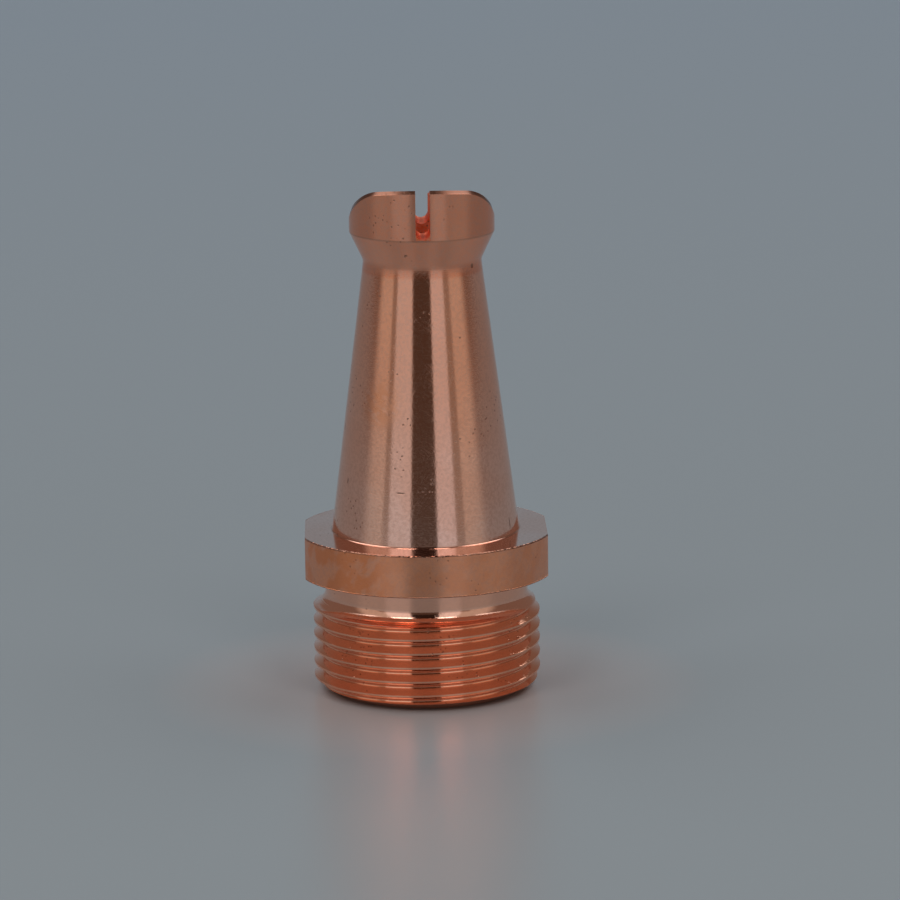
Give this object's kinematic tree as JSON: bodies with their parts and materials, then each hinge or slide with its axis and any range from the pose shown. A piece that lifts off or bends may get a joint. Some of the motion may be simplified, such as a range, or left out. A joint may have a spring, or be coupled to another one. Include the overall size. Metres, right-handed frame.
{
  "type": "laser welding nozzle",
  "caption": "Copper welding nozzle with a fine-threaded base, a flange with wrench flats, a long taper and a slotted, sloping tip around a tapered beam and gas passage.",
  "frame": {"origin": "centre of the flat base face, at the open end of the thread", "axes": "+Z along the beam's axis from the thread to the tip; -Y towards the front, where the end face is highest; the wrench flats face +X and -X"},
  "size_m": [0.017, 0.018, 0.0362],
  "materials": {
    "copper": "bright turned copper"
  },
  "bodies": {
    "root": {"nozzle": "copper"}
  },
  "joints": []
}
